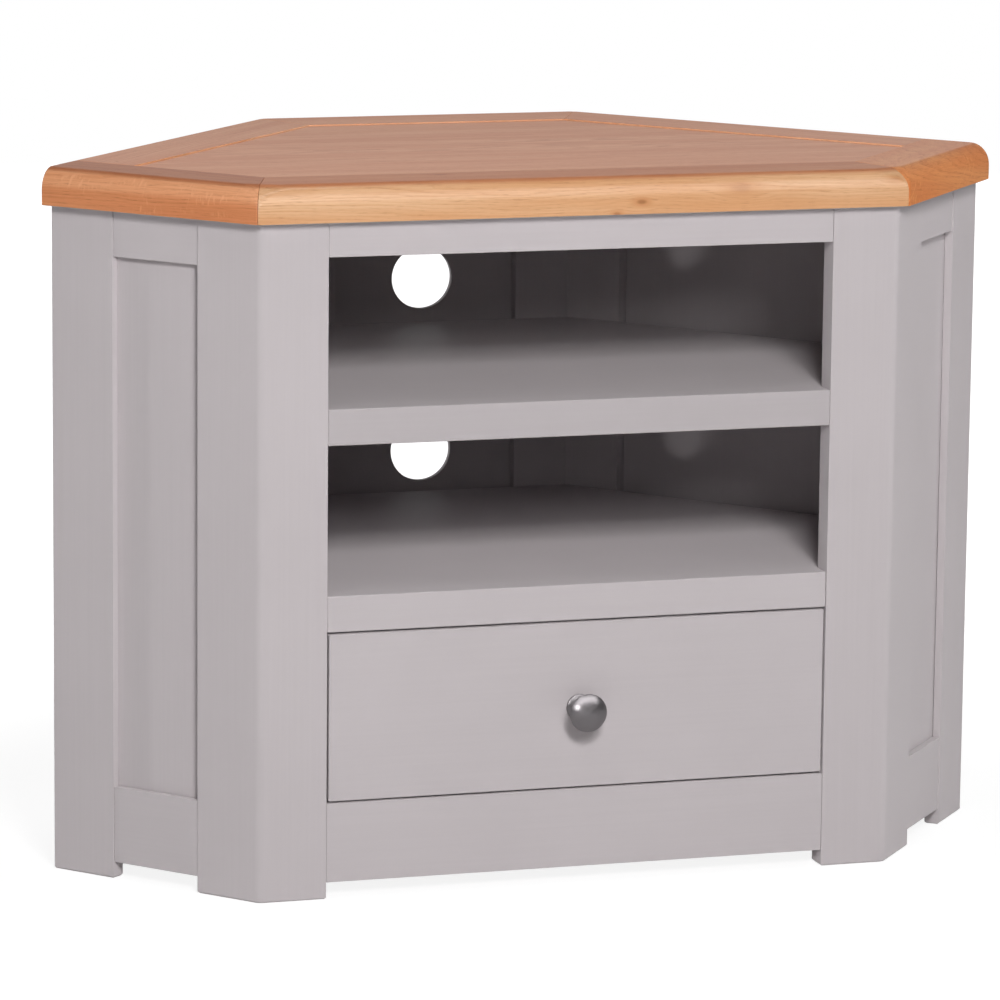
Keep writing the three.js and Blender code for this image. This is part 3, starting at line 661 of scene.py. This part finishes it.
class CABINET_OT_lacquer_top(bpy.types.Operator):
    """Lacquer the oak top: its centre panel and its six rails"""

    bl_idname = "cabinet.lacquer_top"
    bl_label = "Lacquer the Oak Top"

    def execute(self, context):
        oak = context.scene.cabinet_oak
        lowest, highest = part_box("top_front_rail")
        front, upper, under = lowest.y, highest.z, lowest.z
        common = {"spacing": oak.ring_spacing, "pore": (oak.pore_length, oak.pore_width)}
        rail = {"sealed_below": under + 0.3 * MM, **common}
        # Heights over which the top faces of the front and left rails take their painted shade
        top_face_shade_heights = (upper - 3.5 * MM, upper - 0.5 * MM)
        # Darkens the left rail's edge below this height
        lower_half = (under + 20 * MM, under + 14 * MM, oak.left_rail_lower_tint)
        # Painted light on the back rails below their top faces
        back = {"height_tints": ((upper - 0.05 * MM, upper - 0.25 * MM, oak.back_rail_painted_light),), **rail}
        knots = (
            ((-238 * MM, front, upper - 5 * MM), 2.2 * MM, 0.85),
            ((45.5 * MM, front, under + 10.5 * MM), 2.4 * MM, 0.9),
            ((24 * MM, front, under + 1 * MM), 1.8 * MM, 0.8),
            ((133 * MM, front, under + 20 * MM), 5.0 * MM, 0.5),
            ((272 * MM, front + 2 * MM, upper - 6 * MM), 3.0 * MM, 0.7),
            ((-113 * MM, front + 54 * MM, upper), 3.2 * MM, 0.7),
        )
        panel_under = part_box("top_centre_panel")[0].z
        boards = {
            "top_front_rail": timber(
                "lacquered_oak_front_rail", HONEY_OAK, (0, front + 24 * MM, under - 38 * MM),
                lean=math.radians(1.2), knots=knots, coat=0.35,
                height_tints=((*top_face_shade_heights, oak.front_top_face_shade),), **rail),
            "top_centre_panel": timber(
                "lacquered_oak_centre_panel", AMBER_OAK, (0, 10 * MM, under - 95 * MM),
                lean=math.radians(0.7), drift=12.0, ring_share=0.55, **common,
                sealed_below=panel_under + 0.3 * MM),
            "top_left_rail": timber(
                "lacquered_oak_left_rail", PALE_AMBER_OAK, (-330 * MM, -140 * MM, under - 60 * MM),
                turn=-END_TURN, lean=math.radians(-1.0), flecks=0.8, coat=0.35,
                height_tints=((*top_face_shade_heights, oak.left_top_face_shade), lower_half), **rail),
            "top_right_rail": timber(
                "lacquered_oak_right_rail", RUSSET_OAK, (330 * MM, -110 * MM, under - 30 * MM),
                turn=END_TURN, lean=math.radians(7.0), flecks=0.8, fleck_lean=math.radians(40),
                **rail),
            "top_left_back_rail": timber(
                "lacquered_oak_left_back_rail", AMBER_OAK, (-280 * MM, 130 * MM, under - 50 * MM),
                turn=BACK_TURN, **back),
            "top_right_back_rail": timber(
                "lacquered_oak_right_back_rail", AMBER_OAK, (280 * MM, 100 * MM, under - 45 * MM),
                turn=-BACK_TURN, **back),
            "top_back_rail": timber(
                "lacquered_oak_back_rail", AMBER_OAK, (0, 190 * MM, under - 55 * MM), **back),
        }
        for name, material in boards.items():
            if name == "top_centre_panel":
                plane_down(NODES[name], oak.rail_step)
            finish_as((name,), material, 0.0 if name == "top_right_rail" else oak.joint_ease)
        return {"FINISHED"}


class CABINET_OT_finish_drawer(bpy.types.Operator):
    """Paint the drawer front and leave its box, the runners and the blocks in bare wood"""

    bl_idname = "cabinet.finish_drawer"
    bl_label = "Finish the Drawer"

    def execute(self, context):
        paint = context.scene.cabinet_paint
        finish_as(("drawer_front",), satin_paint("satin_paint_drawer_front", paint, False, 0.0),
                  paint.shelf_arris)
        common = {"spacing": 4.5 * MM, "ring_share": 0.4, "pore_share": 0.2, "lacquered": False}
        _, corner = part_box("drawer_right_side")
        across = timber("planed_deal_crosswise", DEAL, (0, 0, corner.z - 160 * MM), **common)
        inward = timber("planed_deal_inward", DEAL, (0, 0, corner.z - 150 * MM),
                        turn=math.radians(90), **common)
        finish_as(DRAWER_BOARDS, across, paint.arris)
        finish_as(DRAWER_SIDES, inward, paint.arris)
        finish_as(HIDDEN_BLOCKS, inward, paint.arris)
        return {"FINISHED"}


class CABINET_OT_fit_knob(bpy.types.Operator):
    """Turn the knob and fit it to the drawer"""

    bl_idname = "cabinet.fit_knob"
    bl_label = "Fit the Knob"

    def execute(self, context):
        hardware = context.scene.cabinet_hardware
        lowest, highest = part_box("drawer_knob")
        centre = Vector(((lowest.x + highest.x) / 2, highest.y, (lowest.z + highest.z) / 2))
        length = highest.y - lowest.y
        face = (highest.z - lowest.z) / 2
        base, base_round = 11.5 * MM, 1.1 * MM
        neck, neck_depth, neck_hollow = 6.6 * MM, 10.2 * MM, 6.2 * MM
        rim, shoulder, rim_end, dome_start = 0.9 * MM, 15.1 * MM, 42, 74
        rim_turn, dome_turn = math.radians(rim_end), math.radians(dome_start)
        shoulder_out = face - rim + (rim - shoulder) * math.cos(rim_turn)
        dome = (shoulder_out + shoulder * math.cos(dome_turn)) / math.cos(dome_turn)
        shoulder_depth = length - dome + (dome - shoulder) * math.sin(dome_turn)
        rim_depth = shoulder_depth + (shoulder - rim) * math.sin(rim_turn)
        profile = [(0.0, 0.0), (base - 0.3 * MM, 0.0)]
        profile += arc((base - base_round, base_round + 0.3 * MM), base_round, 0, 70, 8)
        profile += arc((neck + neck_hollow, neck_depth), neck_hollow, 232, 128, 16)
        profile += arc((face - rim, rim_depth), rim, -60, rim_end, 10)
        profile += arc((shoulder_out, shoulder_depth), shoulder, rim_end, dome_start, 14)[1:]
        profile += arc((0.0, length - dome), dome, dome_start, 90, 8)[1:-1]
        profile.append((0.0, length))
        knob = turn_on_lathe("turned_knob", profile, centre, (0, -1, 0), 96)
        knob.data.materials.append(satin_nickel(hardware, centre))
        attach(knob, "drawer")
        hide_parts("drawer_knob")
        return {"FINISHED"}


class CABINET_OT_drive_screws(bpy.types.Operator):
    """Plate the screws of the top and of the knob"""

    bl_idname = "cabinet.drive_screws"
    bl_label = "Drive the Screws"

    def execute(self, context):
        zinc = zinc_plate(context.scene.cabinet_hardware)
        finish_as(FIXING_SCREWS + ("knob_screw",), zinc, 0.0)
        return {"FINISHED"}


def softbox(name, azimuth, elevation, distance, size, level, mirrored=False):
    """A lamp aimed at the cabinet; at level 1 a surface that faces it renders as painted.

    Polished pieces mirror it only where that is asked for, so no view shows a glaring patch.
    """
    lamp = bpy.data.lights.new(name, "AREA")
    lamp.shape = "RECTANGLE"
    lamp.size, lamp.size_y = size
    lamp.energy = level * (math.pi * distance) ** 2
    away = Euler((0, 0, math.radians(azimuth))).to_matrix() @ Vector((
        0, -math.cos(math.radians(elevation)), math.sin(math.radians(elevation))))
    holder = bpy.data.objects.new(name, lamp)
    holder.location = Vector((0, 0, CAD_BOX[1][2] / 2)) + away * distance
    holder.rotation_euler = away.to_track_quat("Z", "Y").to_euler()
    holder.visible_camera = False
    holder.visible_glossy = mirrored
    bpy.context.scene.collection.objects.link(holder)
    return holder


def reflector(name, azimuth, elevation, distance, size, brightness):
    """A bright card that lights nothing and only shows in what mirrors it."""
    level = brightness * size[0] * size[1] / (math.pi * distance ** 2)
    holder = softbox(name, azimuth, elevation, distance, size, level, mirrored=True)
    holder.visible_diffuse = False
    return holder


class CABINET_OT_set_stage(bpy.types.Operator):
    """Set the camera, the white floor and the studio lamps"""

    bl_idname = "cabinet.set_stage"
    bl_label = "Set the Stage"

    def execute(self, context):
        stage = context.scene.cabinet_stage
        camera = bpy.data.cameras.new("camera")
        camera.lens = stage.lens
        camera.sensor_width = 36
        holder = bpy.data.objects.new("camera", camera)
        view = (Matrix.Rotation(-stage.heading, 4, "Z")
                @ Matrix.Rotation(math.pi / 2 - stage.drop, 4, "X")
                @ Matrix.Rotation(stage.roll, 4, "Z"))
        holder.matrix_world = Matrix.Translation(stage.camera_place) @ view
        context.scene.collection.objects.link(holder)
        context.scene.camera = holder
        context.scene.view_settings.view_transform = "Standard"

        softbox("key_softbox", -9, 28, 3.2, (0.5, 0.5), stage.key)
        softbox("fill_softbox", -3, 21, 3.2, (0.5, 0.5), stage.fill)
        softbox("front_softbox", -17, 6, 3.5, (1.0, 1.0), stage.front)
        reflector("high_card", 10, 43, 3.0, (5.4, 2.2), stage.high_card)
        reflector("left_card", -34, 13, 3.0, (0.5, 0.5), stage.left_card)
        softbox("right_softbox", 84, 8, 3.0, (0.6, 0.6), stage.right)
        softbox("back_left_softbox", -130, 40, 3.0, (1.0, 1.0), stage.back)
        softbox("back_right_softbox", 130, 40, 3.0, (1.0, 1.0), stage.back)
        softbox("low_lamp", -119.8, -6.6, 2.39, (0.08, 0.08), stage.low)
        strip_size, strip_turn = (0.24, 2.3), math.radians(-39.4)
        strip = softbox("overhead_strip", -51.9, 78.5, 2.35, strip_size, stage.overhead,
                        mirrored=True)
        strip.rotation_euler = (0, 0, strip_turn)
        board_size, board_place = (3.6, 0.24), (0.5, 1.5, 0.85)
        board = softbox("backdrop_board", 0, 0, 1.0, board_size, 0, mirrored=True)
        board.data.energy = stage.backdrop * math.pi * board.data.size * board.data.size_y
        board.location = board_place
        board.rotation_euler = (math.radians(-90), 0, 0)

        world = bpy.data.worlds.new("white_studio")
        world.use_nodes = True
        context.scene.world = world
        tree = world.node_tree
        tree.nodes.clear()
        path = add(tree, "ShaderNodeLightPath")
        room = add(tree, "ShaderNodeMapRange", {
            "Value": path.outputs["Is Glossy Ray"], "To Min": stage.ambient, "To Max": stage.room})
        strength = add(tree, "ShaderNodeMix", {
            "Factor": path.outputs["Is Camera Ray"], "A": room, "B": 1.0}, data_type="FLOAT")
        sky = add(tree, "ShaderNodeBackground", {"Color": (1, 1, 1, 1), "Strength": strength})
        add(tree, "ShaderNodeOutputWorld", {"Surface": sky})

        form = bmesh.new()
        bmesh.ops.create_circle(form, cap_ends=True, segments=96, radius=FLOOR_RADIUS)
        mesh = bpy.data.meshes.new("floor")
        form.to_mesh(mesh)
        form.free()
        floor = bpy.data.objects.new("floor", mesh)
        context.scene.collection.objects.link(floor)
        mesh.materials.append(self.white_floor(stage))
        return {"FINISHED"}

    def white_floor(self, stage):
        """White studio vinyl: it keeps a pale shadow near the cabinet and fades to plain white."""
        fade_start, fade_end, glow = 0.45, 1.0, 1.22
        material = bpy.data.materials.new("white_vinyl_floor")
        material.use_nodes = True
        tree = material.node_tree
        tree.nodes.clear()
        place = add(tree, "ShaderNodeTexCoord").outputs["Object"]
        away = add(tree, "ShaderNodeVectorMath", {0: place}, operation="LENGTH")
        hidden = add(tree, "ShaderNodeMapRange", {
            "Value": away, "From Min": fade_start, "From Max": fade_end,
            "To Min": stage.floor_lift, "To Max": 1}, interpolation_type="SMOOTHSTEP")
        share = add(tree, "ShaderNodeMath", {
            0: hidden, 1: add(tree, "ShaderNodeLightPath").outputs["Is Camera Ray"]},
            operation="MULTIPLY")
        vinyl = add(tree, "ShaderNodeBsdfDiffuse", {"Color": opaque(linear("#f0f0f0"))})
        white = add(tree, "ShaderNodeEmission", {"Color": (1, 1, 1, 1), "Strength": glow})
        mixed = add(tree, "ShaderNodeMixShader", {0: share, 1: vinyl, 2: white})
        add(tree, "ShaderNodeOutputMaterial", {"Surface": mixed})
        return material


class CABINET_PT_panel(bpy.types.Panel):
    """The steps of the cabinet's finish"""

    bl_idname = "CABINET_PT_panel"
    bl_label = "Corner Cabinet"
    bl_space_type = "VIEW_3D"
    bl_region_type = "UI"
    bl_category = "Cabinet"

    def draw(self, context):
        for step in STEPS:
            self.layout.operator(step.bl_idname)


STEPS = (CABINET_OT_paint_carcass, CABINET_OT_lacquer_top, CABINET_OT_finish_drawer,
         CABINET_OT_fit_knob, CABINET_OT_drive_screws, CABINET_OT_set_stage)
SETTINGS = {
    "cabinet_paint": PaintSettings,
    "cabinet_oak": OakSettings,
    "cabinet_hardware": HardwareSettings,
    "cabinet_stage": StageSettings,
}


def register():
    for group in (*SETTINGS.values(), *STEPS, CABINET_PT_panel):
        bpy.utils.register_class(group)
    for name, group in SETTINGS.items():
        setattr(bpy.types.Scene, name, PointerProperty(type=group))


def unregister():
    for name in SETTINGS:
        delattr(bpy.types.Scene, name)
    for group in (CABINET_PT_panel, *reversed(STEPS), *SETTINGS.values()):
        bpy.utils.unregister_class(group)


def main():
    register()
    bpy.ops.cabinet.paint_carcass()
    bpy.ops.cabinet.lacquer_top()
    bpy.ops.cabinet.finish_drawer()
    bpy.ops.cabinet.fit_knob()
    bpy.ops.cabinet.drive_screws()
    bpy.ops.cabinet.set_stage()


if __name__ == "__main__":
    main()
